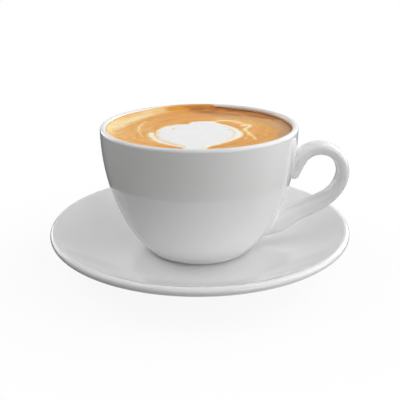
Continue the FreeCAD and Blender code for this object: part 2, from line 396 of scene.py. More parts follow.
def cup_profile(sizes):
    """Recess, foot ring, outside, lip, inside and floor."""
    bottom = sizes.foot_level + sizes.foot_stands
    recess = sizes.foot_level + sizes.foot_recess
    ring_inside = sizes.foot_radius - sizes.foot_width
    inner, outer = (ring_inside, sizes.foot_level), (sizes.foot_radius, sizes.foot_level)
    inner_root, outer_root = (ring_inside, recess), (sizes.foot_radius, bottom)
    base = (sizes.base_radius, bottom)
    outside = bowl_outside(sizes)(np.linspace(0, 1, WALL_POINTS))
    inside = bowl_inside(sizes)(np.linspace(1, 0, WALL_POINTS))
    half = sizes.lip / 2
    crest = arc((sizes.radius - half, sizes.lip_level - half), half, 0, 180, LIP_POINTS)
    return np.concatenate((
        [(0, recess), (4 * MM, recess)],
        soft_corner((0, recess), inner_root, inner, 0.5 * MM),
        soft_corner(inner_root, inner, outer, 0.35 * MM),
        soft_corner(inner, outer, outer_root, 0.35 * MM),
        [outer_root],
        soft_corner(outer_root, base, outside[3], 0.4 * MM),
        outside[2:],
        crest[1:-1],
        inside,
        [(4 * MM, inside[-1][1]), (0, inside[-1][1])],
    ))


def wall_gap(points, sizes):
    """How far points stand off the bowl's outside, and the wall's direction there."""
    line = bowl_outside(sizes)(FINE)
    radius = np.hypot(points[..., 0], points[..., 1])
    wall = np.interp(points[..., 2], line[:, 1], line[:, 0])
    lean = np.interp(points[..., 2], line[:, 1], np.gradient(line[:, 0], line[:, 1]))
    steep = 1 / np.sqrt(1 + lean ** 2)
    out = np.stack((points[..., 0] / radius, points[..., 1] / radius, -lean), axis=-1)
    return (radius - wall) * steep, out * steep[..., None]


def handle_route(cup, sizes):
    """Middle line of the ear: toe on the wall, over the crown, down into the bowl."""
    line = bowl_outside(cup)(FINE)
    toe_height = cup.foot_level + sizes.toe_height
    root_height = cup.foot_level + sizes.root_height
    toe_wall = np.interp(toe_height, line[:, 1], line[:, 0])
    root_wall = np.interp(root_height, line[:, 1], line[:, 0])
    crown = cup.lip_level - sizes.drop - sizes.crown / 2
    out = sizes.outside - sizes.strap / 2
    high, low = crown - toe_height, crown - root_height
    wide, drop = out - cup.radius, out - root_wall
    return spline([
        (toe_wall + 0.33 * sizes.toe, toe_height),
        (toe_wall + 0.60 * sizes.toe, toe_height + 0.30 * high),
        (cup.radius + 0.16 * wide, toe_height + 0.80 * high),
        (cup.radius + 0.49 * wide, crown),
        (cup.radius + 0.85 * wide, crown - 0.088 * low),
        (out, crown - 0.30 * low),
        (cup.radius + 0.87 * wide, crown - 0.52 * low),
        (root_wall + 0.69 * drop, crown - 0.69 * low),
        (root_wall + 0.43 * drop, crown - 0.80 * low),
        (root_wall + 0.17 * drop, crown - 0.915 * low),
        (root_wall - 2 * cup.wall, root_height + 0.12 * sizes.root),
    ])


def strap(cup, sizes, turn, place):
    """Points of the strap's skin, for a turn round it and a place along it."""
    route = handle_route(cup, sizes)
    centre = route(place)
    step = 0.002
    ahead = route(np.minimum(place + step, 1)) - route(np.maximum(place - step, 0))
    ahead /= np.linalg.norm(ahead, axis=-1)[..., None]
    stops = (0.0, 0.13, 0.34, 0.52, 0.66, 0.72, 0.93, 1.0)
    thick = (sizes.toe, sizes.shoulder, sizes.crown, sizes.strap, sizes.run, sizes.run,
             sizes.root, sizes.root)
    wide = (sizes.toe_width, sizes.width, sizes.width, sizes.width, sizes.width, sizes.width,
            sizes.root_width, sizes.root_width)
    here = np.interp(place, stops, np.arange(len(stops)))
    first = np.minimum(here.astype(int), len(stops) - 2)
    part = smooth(0, 1, here - first)
    thickness = np.take(thick, first) * (1 - part) + np.take(thick, first + 1) * part
    width = np.take(wide, first) * (1 - part) + np.take(wide, first + 1) * part
    nose = 0.026            # share of the ear's length over which the toe rounds off
    drawn_in = np.sqrt(1 - np.maximum(0, 1 - place / nose) ** 2)
    cosine, sine = np.cos(2 * math.pi * turn), np.sin(2 * math.pi * turn)
    fullness = 2.6          # 2 is an oval, more is squarer
    reach = (np.abs(cosine) ** fullness + np.abs(sine) ** fullness) ** (-1 / fullness)
    square = reach * drawn_in / 2
    up = thickness * square * sine
    return np.stack((
        centre[..., 0] - ahead[..., 1] * up,
        width * square * cosine,
        centre[..., 1] + ahead[..., 0] * up,
    ), axis=-1)


def handle_skin(cup, sizes):
    """A function that wraps a grid round the ear and melts its ends into the bowl."""
    def place(turn, share_along):
        rows = np.unique(np.round(share_along, 6))
        columns = np.unique(np.round(turn, 6))
        # where each column of the strap goes into the wall at its lower end
        look = np.linspace(0.8, 1, 500)
        gap, _ = wall_gap(strap(cup, sizes, columns[:, None], look[None, :]), cup)
        end = look[np.argmax(gap < 0, axis=1)]
        # rows up to there, closer together at both ends
        body = rows <= BODY_SHARE
        inner = np.interp(rows[body] / BODY_SHARE, (0, 0.15, 0.80, 1), (0, 0.06, 0.955, 1))
        spots = end[:, None] * inner[None, :]
        skin = strap(cup, sizes, columns[:, None] + 0 * spots, spots)
        # the way out of the strap at each point
        ahead = np.gradient(skin, axis=1)
        aside = np.roll(skin[:-1], -1, axis=0) - np.roll(skin[:-1], 1, axis=0)
        aside = np.concatenate((aside, aside[:1]))
        outward = np.cross(aside, ahead)
        size = np.linalg.norm(outward, axis=-1)[..., None]
        outward /= np.maximum(size, 1e-12)
        centre = skin[:-1].mean(axis=0)
        facing = np.sign(np.sum(outward * (skin - centre), axis=-1))[..., None]
        outward *= facing
        # a hollow round where strap and wall come near each other
        gap, wall = wall_gap(skin, cup)
        above = smooth(0.2, 0.8, np.sin(2 * math.pi * columns))[:, None]
        above = above * smooth(0.04, 0.10, spots)
        melt = sizes.toe_melt + (sizes.notch_melt - sizes.toe_melt) * above
        melt += (sizes.root_melt - melt) * smooth(0.8, 0.95, spots)
        near = np.clip(gap, 0, melt)
        flare = melt - np.sqrt(melt ** 2 - (melt - near) ** 2)
        slide = outward - np.sum(outward * wall, axis=-1)[..., None] * wall
        skin = skin + slide * flare[..., None]
        # a skirt on the wall, its edge just inside it, and a plug that closes the shell
        last, down, out = skin[:, -1], wall[:, -1], slide[:, -1]
        out = out / np.maximum(np.linalg.norm(out, axis=-1)[..., None], 1e-9)
        skirt = last + out * 0.5 * MM - down * 0.015 * MM
        sunk = skirt + out * 0.4 * MM - down * 0.25 * MM
        plug = np.broadcast_to(sunk[:-1].mean(axis=0) - down[:-1].mean(axis=0) * MM, last.shape)
        skin = np.concatenate((skin, skirt[:, None], sunk[:, None], plug[:, None]), axis=1)
        column = np.searchsorted(columns, np.round(turn, 6))
        row = np.searchsorted(rows, np.round(share_along, 6))
        return skin[column, row]
    return place


# ---- drink ----

# The heart's outline in mm, from its left side over the lobes to the stem under the front lip.
HEART = [
    (-19.6, -14.3), (-19.8, -8.3), (-19.2, -2.7), (-17.7, 0.8), (-15.1, 3.7), (-11.6, 6.0),
    (-7.3, 7.3), (-4.7, 8.5), (-3.8, 11.0), (-1.8, 13.0), (2.8, 13.6), (7.2, 12.2),
    (9.6, 8.8), (12.8, 5.5), (16.1, 0.8), (19.2, -6.0), (20.2, -12.2), (19.2, -17.5),
    (16.4, -21.8), (12.8, -26.6), (9.0, -30.2), (5.2, -33.4), (3.0, -37.4), (3.2, -46.0),
    (-6.4, -46.0), (-6.4, -38.0), (-7.8, -33.4), (-10.4, -30.4), (-13.7, -27.4), (-16.6, -23.8),
    (-18.6, -19.6),
]
STEM_CENTRE = (-0.5, -14.0)
HEART_CLEAR = 1.5           # mm of crema round the heart that no scattered bubble lies in
WALL_LINE = 44.9            # radius in mm of the burnt line along the wall

# Swirls round the heart: points in mm, half width at both ends, softness, tone and strength.
SWIRLS = [
    # the broad cream band at the back left and its bright core, partly a milk swirl and partly a
    # painted sheen on the wet crema, and the golden line inside it
    ([(-44.4, -7), (-43.0, 1.4), (-40.6, 8.4), (-37.8, 16.0), (-33.6, 24.0), (-28.0, 31.4),
      (-21.4, 38.4), (-13.6, 44)], 6.4, 4.6, 7.0, 0.72, 0.92),
    ([(-42.0, 3), (-39.6, 10), (-36.0, 17.6), (-31.4, 24.4), (-25.6, 30.4)], 2.6, 1.4, 4.6, 0.84, 0.85),
    ([(-40, -7), (-36.5, 0.6), (-31.6, 9), (-26.4, 14.8), (-20.6, 18.4)], 0.7, 0.4, 2.2, 0.42, 0.6),
    ([(-42, 17), (-36.6, 26.4), (-29.0, 35.4)], 0.5, 0.4, 2.0, 0.60, 0.5),
    # orange at the back wall, and the brown patch under it
    ([(-15, 41), (-5, 44.4), (7, 44.6)], 3.4, 3.0, 6.0, 0.37, 0.8),
    ([(-4, 39.6), (3, 42.6), (9.6, 41.4)], 1.5, 1.2, 2.6, 0.20, 0.7),
    ([(-12, 34.6), (-5, 38), (2, 38.8)], 0.9, 0.7, 3.0, 0.36, 0.6),
    ([(-12.6, 28), (-8.4, 24.4), (-4.6, 21)], 1.2, 0.8, 4.0, 0.40, 0.5),
    # brown at the back right, partly the crema's own colour and partly painted shadow of the rim, and
    # strokes beside the burnt line
    ([(0, 40), (6, 34), (16, 29.6), (26, 26.6), (34, 21)], 4.8, 3.0, 7.0, 0.20, 0.92),
    ([(4.6, 35), (9, 37), (14, 37.2), (18, 35.8), (22, 33), (26.4, 30)], 0.6, 0.4, 1.7, 0.22, 0.65),
    ([(0, 30.4), (8, 31.6), (17, 31), (25.6, 26.4)], 0.9, 0.7, 2.4, 0.36, 0.5),
    # arc of thin milk at the left
    ([(-27.3, 15.2), (-29.2, 6.5), (-29.6, -0.9), (-28.3, -9.4), (-26.5, -16.2)],
     0.6, 0.4, 1.6, 0.79, 0.82),
    # petal beside the heart, with its glow
    ([(-24.4, -9), (-23.8, -15.6), (-21.8, -22.2), (-18.4, -28)], 0.8, 0.6, 2.0, 0.70, 0.6),
    ([(-22.9, -10.0), (-21.9, -16.2), (-20.1, -21.5), (-17.2, -26.6), (-12.9, -31.0), (-7.6, -34.6)],
     1.25, 0.85, 0.8, 0.97, 0.97),
    # gold round the right lobe, the milk line over it, and the hook beside it
    ([(12, 9.4), (17.4, 3), (21.2, -5.2), (22.0, -12.4), (20.8, -18.8), (17.4, -25.4)],
     0.6, 0.5, 1.8, 0.42, 0.65),
    ([(6.4, 13.0), (13.1, 15.0), (17.5, 14.0), (21, 10.9), (23.4, 6.2)], 1.3, 0.6, 2.0, 0.80, 0.9),
    ([(6.4, 13.2), (13.1, 15.2), (18.5, 13.8)], 0.7, 0.3, 0.9, 0.90, 0.9),
    ([(21.9, 3.5), (24.3, 6.0), (25.2, 3.1), (23.0, -1.0), (22.9, -8.1), (25.1, -17.1), (26.1, -22.9)],
     1.2, 0.6, 1.8, 0.82, 0.88),
    ([(21.9, -2.4), (23.3, -9.5), (22.9, -15.5)], 0.8, 0.3, 1.8, 0.72, 0.7),
    ([(18.6, 9.6), (21.4, 7.0), (21.0, 3.4)], 0.9, 0.4, 2.0, 0.76, 0.7),
    ([(30.6, 6), (32.7, -2.7), (32.6, -9.8), (31, -17)], 0.5, 0.4, 2.2, 0.62, 0.5),
    ([(31.5, 14), (36, 4), (37.4, -7), (35.6, -18)], 0.5, 0.4, 2.0, 0.44, 0.45),
    # streaks in the front
    ([(-36, -14), (-32.6, -22), (-26.4, -29.6), (-17.6, -36)], 0.8, 0.6, 2.4, 0.60, 0.6),
    ([(-38, -19), (-33, -27), (-25, -34.6)], 0.7, 0.5, 2.0, 0.40, 0.5),
    ([(-19, -31.6), (-12.6, -35.0), (-7.6, -37.4), (-6, -42)], 0.9, 0.7, 1.6, 0.36, 0.75),
    ([(4.4, -41), (5.4, -36.6), (11, -33.2), (18, -28.8)], 0.9, 0.7, 1.8, 0.35, 0.75),
    ([(17.6, -29.6), (21.4, -27.2), (25, -22)], 0.5, 0.4, 1.4, 0.62, 0.6),
]

# Lines along the wall: first and last angle in degrees, how far in, and the rest as above.
WALL_LINES = [
    # the broad dark band in from the right wall: partly brown crema and partly painted shadow of the
    # rim
    (80, -22, 2.8, 2.0, 1.8, 4.0, 0.20, 0.70),
    (82, -16, 0.0, 0.60, 0.50, 1.1, 0.02, 0.97),
    (176, 120, 0.2, 0.25, 0.25, 1.2, 0.52, 0.5),
    (-20, -160, 0.2, 0.20, 0.20, 0.9, 0.36, 0.45),
]

# Strokes inside the heart, as the swirls: the tan gap before the pale ring at its right.
INNER_STROKES = [
    ([(12.4, 1.2), (14.9, -2.5), (16.5, -6.8), (16.8, -13.2), (15.4, -19.2), (12.6, -24.6)],
     0.40, 0.25, 1.5, 0.70, 0.80),
    ([(-16.6, -4), (-17.2, -10), (-16.6, -16.6), (-14.4, -23)], 0.3, 0.3, 2.6, 0.90, 0.35),
]

# Spots: place and radius in mm, tone and strength.
SPOTS = [
    (-12.6, -2.8, 0.85, 0.50, 0.8), (-13.2, -1.4, 0.5, 0.60, 0.5), (1.8, -36.6, 0.9, 0.70, 0.5),
    (-30.2, -18.8, 1.1, 0.80, 0.75), (-31.6, -17.0, 0.6, 0.74, 0.5), (21.6, -20.6, 0.9, 0.74, 0.7),
    (15.0, -5.0, 0.8, 0.50, 0.55), (16.3, -10.4, 0.9, 0.56, 0.5), (-6.4, 41.6, 0.7, 0.70, 0.6),
    (3.6, 40.6, 0.8, 0.72, 0.6), (-8.6, 33.0, 0.8, 0.24, 0.5), (-5.6, 27.4, 0.7, 0.28, 0.5),
    (-2.0, 33.6, 0.7, 0.26, 0.5), (-12.6, 22.6, 0.8, 0.34, 0.5),
]

# The largest bubbles: place and radius in mm.
LARGE_BUBBLES = [
    (-22.4, 18.6, 0.62), (-21.2, 19.5, 0.42), (-23.6, 17.4, 0.38), (-20.6, 18.2, 0.30),
    (-5.4, 41.0, 0.40), (4.6, 40.4, 0.46), (-2.4, 32.2, 0.34), (28.4, 26.4, 0.36),
    (36.6, 18.0, 0.34), (-33.0, -9.6, 0.30),
]

# Where the crema is dull and beige, as the swirls without tone and strength.
BEIGE = [
    ([(8, 27), (14.2, 25.8), (22.2, 22.6), (29.6, 17), (34.8, 9.4), (38.6, -2)], 2.2, 2.6, 5.0),
    ([(40, 12), (41, 2), (41, -9), (38, -22)], 3.0, 3.0, 8.0),
]


def distance_to(points, line):
    """Distance from each point to a line of points, and the share along it."""
    best = np.full(len(points), 1e9)
    at_share = np.zeros(len(points))
    for number, (first, last) in enumerate(zip(line, line[1:])):
        edge = last - first
        part = np.clip((points - first) @ edge / (edge @ edge), 0, 1)
        apart = np.linalg.norm(points - first - part[:, None] * edge, axis=1)
        nearer = apart < best
        best[nearer] = apart[nearer]
        at_share[nearer] = (number + part[nearer]) / (len(line) - 1)
    return best, at_share


def within(points, line, margin):
    """Which points lie in the box round a line, with a margin."""
    low, high = line.min(axis=0) - margin, line.max(axis=0) + margin
    return np.all((points > low) & (points < high), axis=1)


def heart_depth(points):
    """How far inside the white heart each point lies, in mm; negative outside."""
    line = spline(HEART, closed=True)(np.linspace(0, 1, HEART_STEPS + 1))
    apart = np.full(len(points), FAR)
    near = within(points, line, HEART_REACH)
    apart[near], _ = distance_to(points[near], line)
    inside = np.zeros(len(points), bool)
    for (x0, y0), (x1, y1) in zip(line, line[1:]):
        if y0 == y1:
            continue
        spans = (y0 > points[:, 1]) != (y1 > points[:, 1])
        crossing = x0 + (points[:, 1] - y0) / (y1 - y0) * (x1 - x0)
        inside ^= spans & (points[:, 0] < crossing)
    return np.where(inside, apart, -apart)


def band(points, swirl):
    """How strongly a swirl covers each point, from 0 to 1."""
    route, start, end, soft = swirl[:4]
    line = spline(route)(np.linspace(0, 1, STROKE_STEPS + 1))
    cover = np.zeros(len(points))
    near = within(points, line, max(start, end) + soft)
    apart, along = distance_to(points[near], line)
    half = start + (end - start) * along
    cover[near] = 1 - smooth(0, 1, (apart - half) / soft + 0.5)
    return cover


def stroked(tone, points, swirl):
    """The tone with one swirl drawn over it."""
    return tone + (swirl[4] - tone) * swirl[5] * band(points, swirl)


def rippled(points):
    """The places moved a little to and fro, so that no poured edge runs quite smooth."""
    x, y = points[:, 0], points[:, 1]
    along = 0.15 * np.sin(0.80 * y + 0.9 * np.sin(0.5 * x)) + 0.07 * np.sin(2.3 * y + 1.3 * x)
    across = 0.15 * np.sin(0.70 * x + 0.8 * np.sin(0.6 * y) + 1) + 0.07 * np.sin(2.1 * x - 1.5 * y)
    return points + np.stack((along, across), axis=1)


def surface_tone(points):
    """Tone of the drink, from 0 (burnt crema) to 1 (milk), for places in mm."""
    points = rippled(points)
    radius = np.linalg.norm(points, axis=1)
    turn = np.arctan2(points[:, 1], points[:, 0])
    # golden crema, with slow changes round the cup; darker at the back, and darker near the right wall
    # and at the right, partly the crema's own edge and partly painted shadow of the rim
    tone = 0.50 + 0.03 * np.sin(2 * turn + 0.6) + 0.02 * np.sin(radius * 0.55 + 2 * turn)
    back = smooth(20, 44, points[:, 1]) * smooth(-22, 8, points[:, 0])
    tone -= 0.10 * back
    # painted shadow of the rim on the crema near the right wall, over the crema's own darker edge
    right_wall_shade = smooth(38, 45, radius) * smooth(-20, 10, points[:, 1])
    tone -= 0.16 * right_wall_shade * smooth(0, 25, points[:, 0])
    tone -= 0.07 * smooth(26, 40, points[:, 0])
    for first, last, inward, *rest in WALL_LINES:
        tone = stroked(tone, points, (arc((0, 0), WALL_LINE - inward, first, last, 12), *rest))
    for swirl in SWIRLS:
        tone = stroked(tone, points, swirl)
    # a cream margin round the heart, and the milk in it
    depth = heart_depth(points)
    tone += (0.80 - tone) * 0.85 * smooth(-1.5, -0.3, depth)
    tone += (1.0 - tone) * smooth(-0.6, 0.9, depth)
    for stroke in INNER_STROKES:
        tone = stroked(tone, points, stroke)
    for x, y, size, spot_tone, strength in SPOTS:
        apart = np.hypot(points[:, 0] - x, points[:, 1] - y)
        tone += (spot_tone - tone) * strength * (1 - smooth(0.4 * size, 1.3 * size, apart))
    return np.clip(tone, 0, 1)


def dullness(points):
    """How beige the crema is, from 0 to 1, for places in mm."""
    cover = np.zeros(len(points))
    for swirl in BEIGE:
        cover = np.maximum(cover, band(points, swirl))
    return cover


def paint_pattern(made):
    """Stores the drink's tone and dullness on a piece."""
    places = places_of(made)[:, :2] / MM
    paint(made, "tone", surface_tone(places))
    paint(made, "dull", dullness(places))


def wall_radius(cup, height):
    """Inner radius of the cup at a height, the rounded lip included."""
    line = bowl_inside(cup)(FINE)
    half = cup.lip / 2
    over = np.clip(np.asarray(height) - (cup.lip_level - half), 0, half)
    straight = np.interp(height, line[:, 1], line[:, 0])
    return straight + half - np.sqrt(half ** 2 - over ** 2)


def climbing(points, drink):
    """How high the crema clings to the wall: highest from the back round to the left."""
    turn = np.degrees(np.arctan2(points[:, 1], points[:, 0])) % 360
    cling = smooth(62, 84, turn) * (1 - smooth(215, 250, turn))
    ripple = 0.12 * np.sin(turn / 7.0) + 0.08 * np.sin(turn / 2.9 + 1)
    return drink.meniscus + drink.climb * cling * (1 + ripple)


def lie_of(points, cup, drink):
    """Height of the crema over the level, from places in metres."""
    radius = np.hypot(points[:, 0], points[:, 1])
    high = climbing(points, drink)
    edge = wall_radius(cup, drink.level + high)
    reach = 0.5 * MM + 0.6 * high
    lift = high * np.exp(-(edge - radius) / reach)
    waves = [noise.noise(Vector((x * WAVES, y * WAVES, 0.5))) for x, y in points[:, :2]]
    return lift + np.array(waves) * WAVE_HEIGHT


def drink_profile(cup, drink):
    """The drink's top from the axis to the wall, then the cavity down to its floor."""
    wall = wall_radius(cup, drink.level)
    top = np.linspace(0, wall, int(wall / RING_GAP))
    below = bowl_inside(cup)(np.linspace(1, 0, CAVITY_POINTS))
    below = below[below[:, 1] < drink.level - 0.5 * MM] + (0.05 * MM, 0)
    return np.concatenate((
        [(radius, drink.level) for radius in top],
        below,
        [(0, below[-1][1])],
    ))


# ---- materials ----

class Nodes:
    """Adds nodes to a material or world and joins them."""

    def __init__(self, owner):
        owner.use_nodes = True
        self.tree = owner.node_tree
        self.tree.nodes.clear()

    def add(self, kind, settings=None, **inputs):
        made = self.tree.nodes.new(kind)
        for key, value in (settings or {}).items():
            setattr(made, key, value)
        for key, value in inputs.items():
            socket = made.inputs[int(key[1:])] if key[0] == "i" and key[1:].isdigit() else \
                made.inputs[key.replace("_", " ")]
            if isinstance(value, bpy.types.NodeSocket):
                self.tree.links.new(value, socket)
            else:
                socket.default_value = value
        return made

    def maths(self, operation, first, second=0.5, third=0.5, clamp=False):
        return self.add("ShaderNodeMath", {"operation": operation, "use_clamp": clamp},
                        i0=first, i1=second, i2=third).outputs[0]

    def times(self, first, second, clamp=False):
        return self.maths("MULTIPLY", first, second, clamp=clamp)

    def vector(self, operation, first, **inputs):
        return self.add("ShaderNodeVectorMath", {"operation": operation}, i0=first, **inputs).outputs

    def where(self):
        """The place on the piece, in the piece's own metres."""
        return self.add("ShaderNodeTexCoord").outputs["Object"]

    def mix(self, amount, first, second, blend="MIX"):
        """One colour laid over another; the second shows where the amount is 1."""
        return self.add("ShaderNodeMix", {"data_type": "RGBA", "blend_type": blend},
                        i0=amount, i6=first, i7=second).outputs[2]

    def noise(self, where, scale, detail=3.0, rough=0.5):
        return self.add("ShaderNodeTexNoise", Vector=where, Scale=scale, Detail=detail,
                        Roughness=rough).outputs[0]

    def spread(self, value, low, high, to_low=0.0, to_high=1.0):
        """An even turn from one number to another while the value goes from low to high."""
        return self.add("ShaderNodeMapRange", {"interpolation_type": "SMOOTHSTEP"}, i0=value,
                        i1=low, i2=high, i3=to_low, i4=to_high).outputs[0]

    def number(self, name):
        """A number stored on the piece's points."""
        return self.add("ShaderNodeAttribute", {"attribute_name": name}).outputs["Fac"]

    def output(self, shader, kind="ShaderNodeOutputMaterial"):
        self.add(kind, Surface=shader)


def rgba(values):
    return (*values, 1.0)


def make_porcelain(finish, name, foot_level):
    """White glaze with a faint unevenness, bare clay under the foot, coffee film inside, its left part
    lighter, partly a painted highlight.
    """
    material = bpy.data.materials.new(name)
    n = Nodes(material)
    where = n.where()
    aside, _, height = n.add("ShaderNodeSeparateXYZ", i0=where).outputs
    cloud = n.noise(where, 38.0, 2.0)
    fine = n.noise(where, 900.0, 2.0)
    thinner = rgba([part * 0.985 for part in finish.glaze])
    tinted = n.mix(n.spread(cloud, 0.3, 0.7), thinner, rgba(finish.glaze))
    bare = n.spread(height, foot_level + 0.5 * MM, foot_level + 0.15 * MM)
    tinted = n.mix(bare, tinted, rgba(finish.biscuit))
    patchy = n.maths("MULTIPLY_ADD", n.noise(where, 160.0, 4.0), 0.9, 0.55)
    stain = n.times(n.number("stain"), patchy, clamp=True)
    tinted = n.mix(stain, tinted, rgba(finish.stain))
    streaky = n.spread(n.noise(where, 300.0, 4.0, 0.6), 0.35, 0.65, -0.16, 0.16)
    film = n.spread(n.maths("ADD", n.number("film"), streaky), 0.35, 0.65)
    # the crema film turns light towards the left, partly a painted highlight on the crema at the wall
    leftward = n.spread(aside, -3 * MM, -19 * MM)
    wash = n.mix(cloud, rgba(finish.orange), rgba(finish.golden))
    tinted = n.mix(film, tinted, n.mix(leftward, wash, rgba(finish.light)))
    rough = n.spread(cloud, 0.3, 0.7, finish.gloss, finish.gloss + 0.02)
    rough = n.maths("ADD", rough, n.times(bare, 0.5))
    bump = n.add("ShaderNodeBump", Strength=0.10, Distance=0.02 * MM, Height=fine)
    swell = n.add("ShaderNodeBump", Strength=0.25, Distance=0.12 * MM,
                  Height=n.noise(where, 70.0, 1.0), Normal=bump.outputs[0])
    glaze = n.add("ShaderNodeBsdfPrincipled", Base_Color=tinted, Roughness=rough, IOR=1.5,
                  Normal=swell.outputs[0])
    n.output(glaze.outputs[0])
    return material


def drink_colour(n, finish):
    """Place, colour, grain and clouds: the ramp from burnt crema to milk, with streaks in it."""
    where = n.where()
    flat = n.vector("MULTIPLY", where, i1=(1, 1, 0))[0]
    radius = n.vector("LENGTH", flat)["Value"]
    around = n.vector("SCALE", n.vector("NORMALIZE", flat)[0], Scale=1.6)[0]
    rings = n.add("ShaderNodeCombineXYZ", Z=n.times(radius, 190.0)).outputs[0]
    flow = n.vector("ADD", around, i1=rings)[0]
    streaks = n.add("ShaderNodeTexNoise", Vector=flow, Scale=1.6, Detail=5.0, Roughness=0.6,
                    Distortion=0.9).outputs[0]
    clouds = n.noise(where, 150.0, 4.0, 0.6)
    grain = n.noise(where, 1500.0, 3.0, 0.7)
    tone = n.number("tone")
    crema = n.spread(tone, 0.97, 0.80)
    shift = n.times(n.maths("SUBTRACT", streaks, 0.5), 0.30)
    for texture, strength in ((clouds, 0.26), (grain, 0.15)):
        shift = n.maths("ADD", shift, n.times(n.maths("SUBTRACT", texture, 0.5), strength))
    tone = n.maths("ADD", tone, n.times(shift, crema))
    ramp = n.add("ShaderNodeValToRGB", Fac=tone)
    stops = [
        (0.02, finish.burnt), (0.20, finish.brown), (0.36, finish.orange), (0.50, finish.golden),
        (0.64, finish.light), (0.78, finish.cream), (0.90, finish.pale), (0.99, finish.milk),
    ]
    bars = ramp.color_ramp.elements
    while len(bars) < len(stops):
        bars.new(0.5)
    for bar, (place, hue) in zip(bars, stops):
        bar.position = place
        bar.color = rgba(hue)
    dull = n.times(n.number("dull"), n.spread(tone, 0.75, 0.6), clamp=True)
    hue = n.mix(n.times(dull, 0.8), ramp.outputs[0], rgba(finish.beige))
    return where, hue, grain, clouds


def foam_cells(n, where, scale):
    """Distance to the middle of the nearest cell of foam."""
    return n.add("ShaderNodeTexVoronoi", {"feature": "F1"}, Vector=where, Scale=scale).outputs[0]


def foam_skin(n, hue, rough, height, strength, depth, ior, specular):
    """A foam's skin, with its cells and grain as a fine relief."""
    bump = n.add("ShaderNodeBump", Strength=strength, Distance=depth, Height=height)
    skin = n.add("ShaderNodeBsdfPrincipled", Base_Color=hue, Roughness=rough, IOR=ior,
                 Normal=bump.outputs[0])
    skin.inputs["Specular IOR Level"].default_value = specular
    n.output(skin.outputs[0])


def make_crema(finish):
    """Crema: satin, with micro-foam and fine pits."""
    material = bpy.data.materials.new("crema")
    n = Nodes(material)
    where, hue, grain, clouds = drink_colour(n, finish)
    cells = foam_cells(n, where, 900.0)
    hue = n.mix(n.times(n.spread(cells, 0.28, 0.05), 0.16), hue, rgba(finish.cream))
    rough = n.spread(clouds, 0.3, 0.7, 0.34, 0.46)
    height = n.maths("MULTIPLY_ADD", n.spread(cells, 0.0, 0.5), 0.6, grain)
    foam_skin(n, hue, rough, height, strength=0.35, depth=0.10 * MM, ior=1.36, specular=0.2)
    return material


def make_milk(finish):
    """Milk foam: matt and close-grained, with the crema's tint at its margin."""
    material = bpy.data.materials.new("milk_foam_skin")
    n = Nodes(material)
    where, hue, grain, clouds = drink_colour(n, finish)
    cells = foam_cells(n, where, 1300.0)
    thinner = rgba([part * 0.93 for part in finish.milk])
    hue = n.mix(n.times(n.spread(clouds, 0.62, 0.38), 0.3), hue, thinner, "MULTIPLY")
    rough = n.spread(clouds, 0.3, 0.7, 0.46, 0.60)
    height = n.maths("MULTIPLY_ADD", n.spread(cells, 0.0, 0.5), 0.4, grain)
    foam_skin(n, hue, rough, height, strength=0.30, depth=0.08 * MM, ior=1.35, specular=0.3)
    return material


def make_bubble_film(finish):
    """Bubble skins: the crema's own colour, lighter and wet."""
    material = bpy.data.materials.new("bubble_film")
    n = Nodes(material)
    hue = n.mix(0.35, drink_colour(n, finish)[1], rgba(finish.cream))
    skin = n.add("ShaderNodeBsdfPrincipled", Base_Color=hue, Roughness=0.16, IOR=1.36)
    skin.inputs["Coat Weight"].default_value = 0.5
    n.output(skin.outputs[0])
    return material


# ---- operators ----

class CAPPUCCINO_OT_saucer(Operator):
    """Turn the saucer: well, flange, rolled lip and foot ring"""
    bl_idname = "cappuccino.saucer"
    bl_label = "Saucer"

    def execute(self, context):
        scene = context.scene
        sizes = scene.cappuccino_saucer
        shell = turned(saucer_profile(sizes), SPIN_STEPS)
        material = make_porcelain(scene.cappuccino_finish, "saucer_glaze", 0.0)
        add_piece(shell, "saucer_glazed", material, ["saucer"])
        return {"FINISHED"}


class CAPPUCCINO_OT_cup(Operator):
    """Turn the bowl, wrap the ear handle and melt it into the wall"""
    bl_idname = "cappuccino.cup"
    bl_label = "Cup and handle"

    def execute(self, context):
        scene = context.scene
        cup = scene.cappuccino_cup
        shell = turned(cup_profile(cup), SPIN_STEPS)
        wrapped(shell, HANDLE_COLUMNS, HANDLE_ROWS, handle_skin(cup, scene.cappuccino_handle))
        material = make_porcelain(scene.cappuccino_finish, "cup_glaze", cup.foot_level)
        made = add_piece(shell, "cup_glazed", material, ["cup"])
        points = places_of(made)
        # a light stain above the drink, most of it at the right
        over = points[:, 2] - scene.cappuccino_drink.level
        radius = np.hypot(points[:, 0], points[:, 1])
        turn = np.degrees(np.arctan2(points[:, 1], points[:, 0]))
        inside = radius < cup.radius - 0.62 * cup.lip
        right = smooth(-25, 0, turn) * (1 - smooth(78, 88, turn))
        wet = inside * (over > -3 * MM)
        stain = (1 - smooth(0.7 * MM, 2.3 * MM, over)) * wet
        paint(made, "stain", stain * (0.15 + 0.75 * right))
        # a wash of crema above it from the back round to the left
        back = smooth(70, 84, turn) * (1 - smooth(104, 140, turn))
        high = (1.3 + 0.9 * back) * MM
        film = (1 - smooth(high - 0.4 * MM, high + 0.4 * MM, over)) * smooth(74, 84, turn)
        paint(made, "film", film * wet * (1 - smooth(150, 175, turn)))
        return {"FINISHED"}


